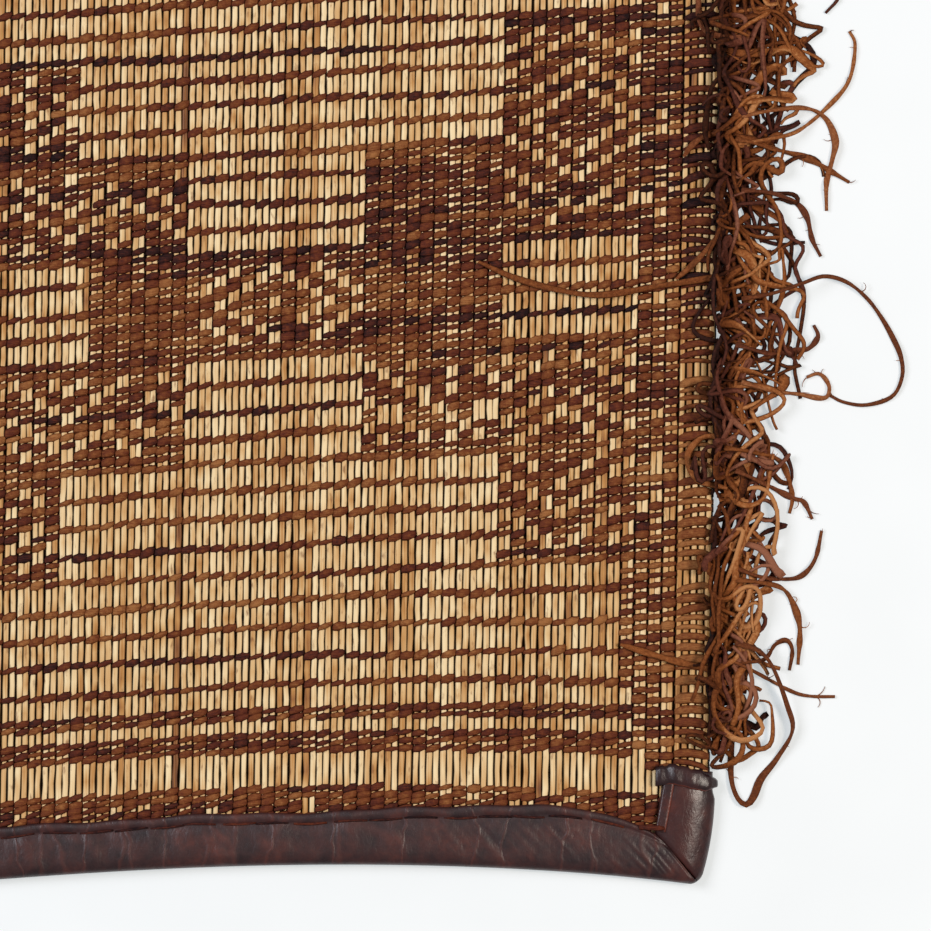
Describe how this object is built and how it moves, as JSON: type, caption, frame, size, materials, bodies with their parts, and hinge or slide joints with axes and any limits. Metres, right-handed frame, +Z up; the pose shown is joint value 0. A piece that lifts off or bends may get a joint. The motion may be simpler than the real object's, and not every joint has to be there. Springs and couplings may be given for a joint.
{
  "type": "reed and leather floor mat",
  "caption": "Flat rectangular floor mat of grass stems bound by rows of leather thongs, with a stepped leather motif, leather-bound ends and corners, and a thong fringe along its sides.",
  "frame": {"origin": "middle of the mat's bounding box, on the floor", "axes": "+X along the leather rows towards the fringe at the right, +Y along the stems, +Z up from the floor"},
  "size_m": [0.6434, 0.4284, 0.0074],
  "materials": {
    "reed": "dry straw, satin",
    "thong_leather": "suede thong, matte",
    "binding_leather": "smooth hide, soft sheen"
  },
  "bodies": {
    "root": {"reed_field": "reed", "binding_bottom": "binding_leather", "binding_top": "binding_leather", "corner_right_bottom": "binding_leather", "corner_left_bottom": "binding_leather", "corner_right_top": "binding_leather", "corner_left_top": "binding_leather", "fringe_right": "thong_leather", "fringe_left": "thong_leather"}
  },
  "joints": []
}
